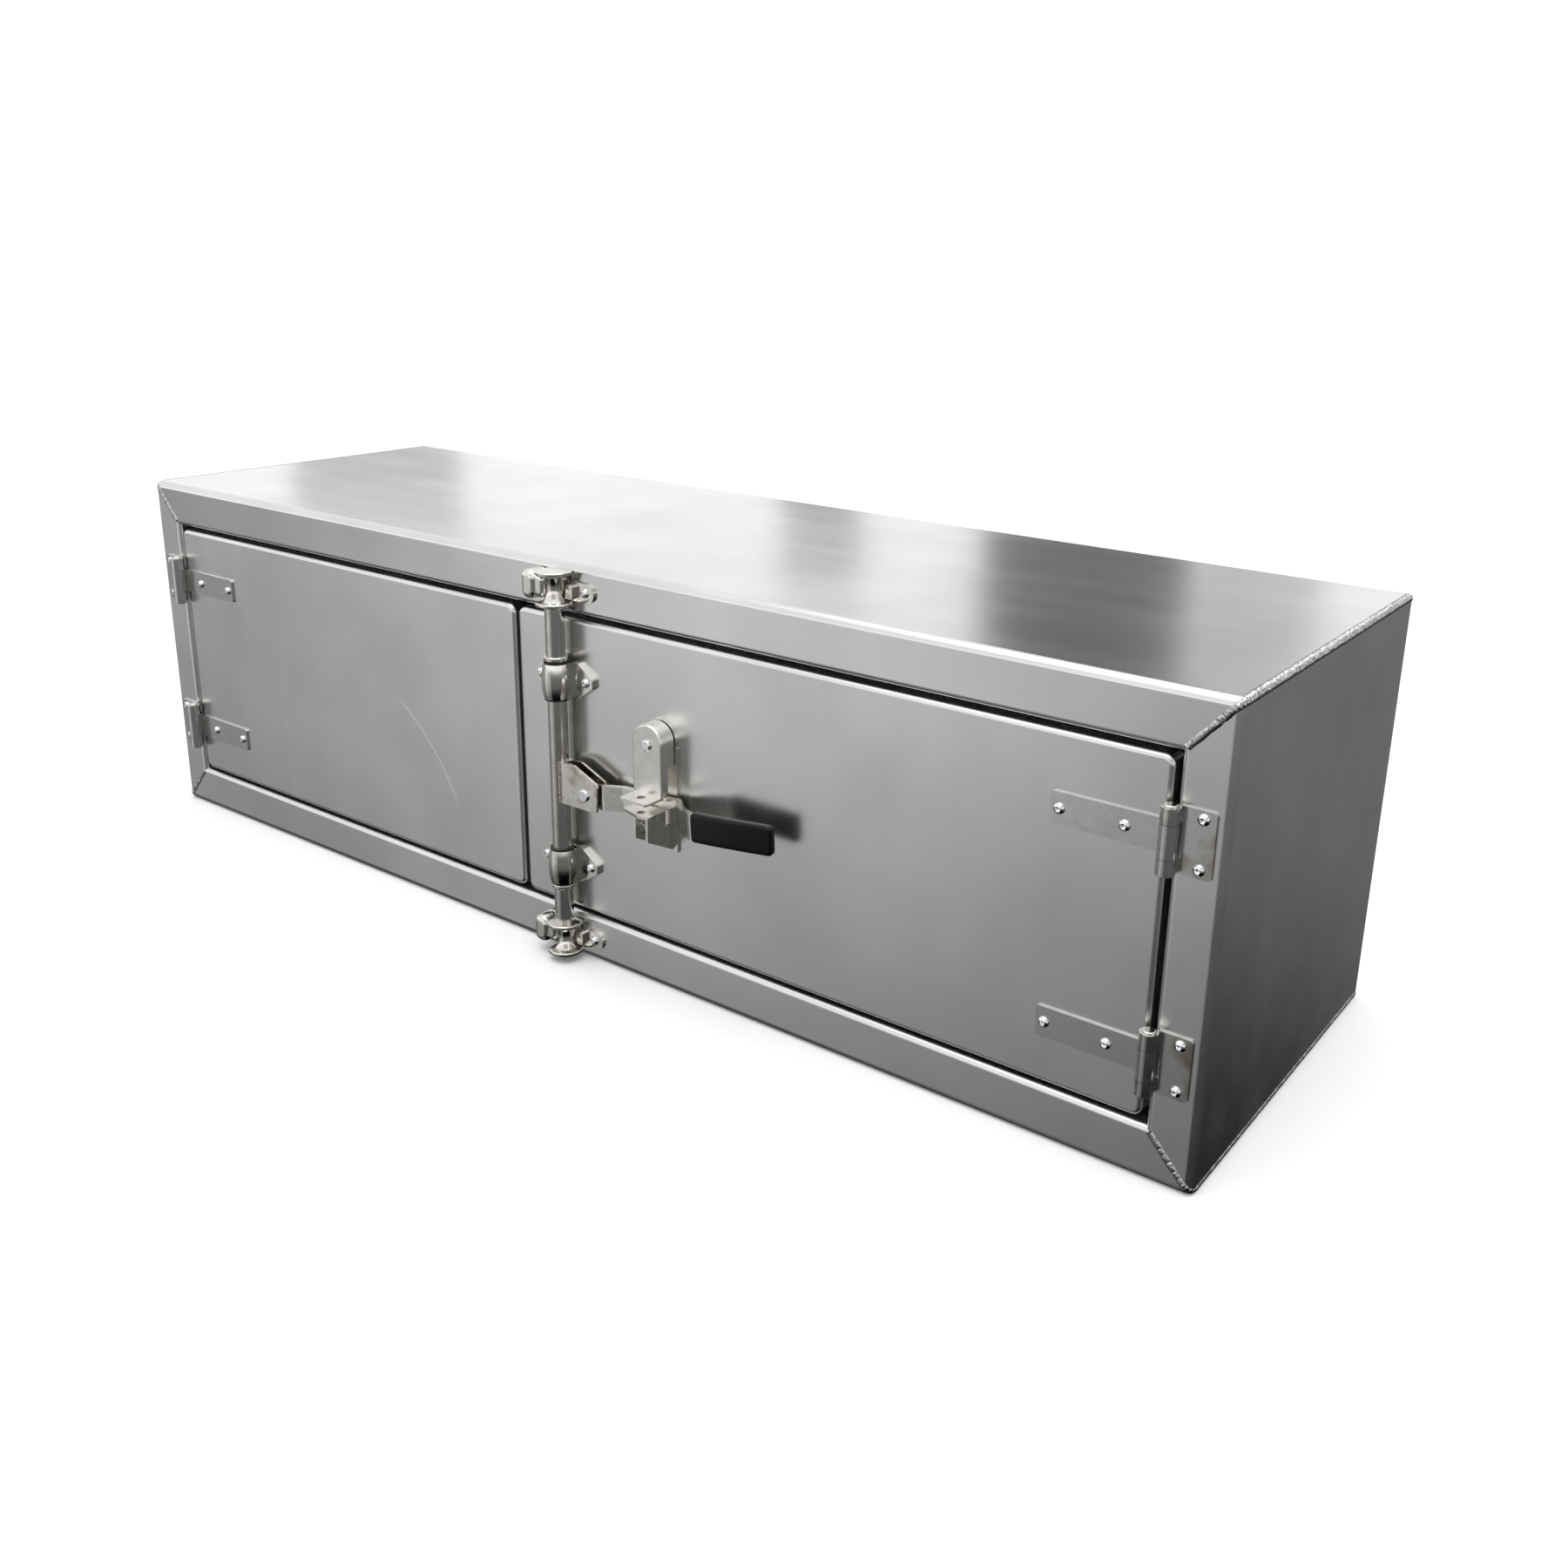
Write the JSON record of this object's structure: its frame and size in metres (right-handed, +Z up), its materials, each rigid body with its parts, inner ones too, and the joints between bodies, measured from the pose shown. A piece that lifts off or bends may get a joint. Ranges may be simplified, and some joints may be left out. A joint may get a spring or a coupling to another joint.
{
  "type": "truck tool box",
  "caption": "Long aluminium truck tool box with two hinged doors locked by a vertical cam rod and a padlockable swing handle.",
  "frame": {"origin": "centre of the bottom face", "axes": "+X to the right along the length as seen from the doors, -Y out of the doors, +Z up"},
  "size_m": [1.5264, 0.504, 0.4578],
  "materials": {
    "sheet_aluminium": "satin mill finish sheet",
    "weld_aluminium": "rippled weld bead",
    "seal_rubber": "matte black foam rubber",
    "nylon_bushing": "black nylon",
    "vinyl_grip": "glossy black dipped vinyl",
    "stainless_hinge": "rolled stainless steel",
    "hinge_pin_steel": "bright drawn steel",
    "zinc_fastener": "bright zinc",
    "pipe_steel": "zinc plated pipe",
    "plated_steel": "polished nickel plate"
  },
  "bodies": {
    "box": {"top_panel": "sheet_aluminium", "bottom_panel": "sheet_aluminium", "left_side_panel": "sheet_aluminium", "right_side_panel": "sheet_aluminium", "back_panel": "sheet_aluminium", "corner_welds": "weld_aluminium", "back_stitch_welds": "weld_aluminium", "door_seal": "seal_rubber", "left_lower_hinge_leaf": "stainless_hinge", "left_lower_hinge_pin": "hinge_pin_steel", "left_upper_hinge_leaf": "stainless_hinge", "left_upper_hinge_pin": "hinge_pin_steel", "right_lower_hinge_leaf": "stainless_hinge", "right_lower_hinge_pin": "hinge_pin_steel", "right_upper_hinge_leaf": "stainless_hinge", "right_upper_hinge_pin": "hinge_pin_steel", "frame_hinge_screws": "zinc_fastener", "frame_hinge_nuts": "zinc_fastener", "lower_keeper": "plated_steel", "upper_keeper": "plated_steel", "keeper_screws": "zinc_fastener", "keeper_studs": "plated_steel", "keeper_nuts": "zinc_fastener"},
    "left_door": {"left_door_pan": "sheet_aluminium", "left_lower_hinge_strap": "stainless_hinge", "left_upper_hinge_strap": "stainless_hinge", "left_strap_screws": "zinc_fastener", "left_strap_nuts": "zinc_fastener", "overlap_strip": "sheet_aluminium", "overlap_rivets": "zinc_fastener", "overlap_seal": "seal_rubber"},
    "right_door": {"right_door_pan": "sheet_aluminium", "right_lower_hinge_strap": "stainless_hinge", "right_upper_hinge_strap": "stainless_hinge", "right_strap_screws": "zinc_fastener", "right_strap_nuts": "zinc_fastener", "lock_backing_plates": "sheet_aluminium", "lower_guide_base": "plated_steel", "lower_guide_bracket": "plated_steel", "lower_guide_bushing": "nylon_bushing", "upper_guide_base": "plated_steel", "upper_guide_bracket": "plated_steel", "upper_guide_bushing": "nylon_bushing", "guide_screws": "zinc_fastener", "guide_nuts": "zinc_fastener", "catch_base": "plated_steel", "handle_tray": "plated_steel", "catch_rivets": "zinc_fastener", "hasp_rivet": "zinc_fastener"},
    "lock_rod": {"lock_rod": "pipe_steel", "lower_cam": "plated_steel", "upper_cam": "plated_steel", "lower_collar": "plated_steel", "upper_collar": "plated_steel", "yoke": "plated_steel", "yoke_welds": "plated_steel", "yoke_pin": "plated_steel"},
    "handle": {"handle_bar": "plated_steel", "handle_grip": "vinyl_grip"},
    "hasp": {"hasp": "plated_steel"}
  },
  "joints": [
    {"name": "left_door_hinge", "type": "hinge", "parent": "box", "child": "left_door", "pos_m": [-0.713, -0.238, 0.225], "axis": [0, 0, -1], "range_deg": [0, 180]},
    {"name": "right_door_hinge", "type": "hinge", "parent": "box", "child": "right_door", "pos_m": [0.713, -0.238, 0.225], "axis": [0, 0, 1], "range_deg": [0, 180]},
    {"name": "lock_rod_turn", "type": "hinge", "parent": "right_door", "child": "lock_rod", "pos_m": [0.014, -0.244, 0.225], "axis": [0, 0, -1], "range_deg": [0, 95]},
    {"name": "handle_lift", "type": "hinge", "parent": "lock_rod", "child": "handle", "pos_m": [0.058, -0.244, 0.21], "axis": [0, -1, 0], "range_deg": [0, 15]},
    {"name": "hasp_swing", "type": "hinge", "parent": "right_door", "child": "hasp", "pos_m": [0.151, -0.251, 0.289], "axis": [0, 1, 0], "range_deg": [0, 100]}
  ]
}
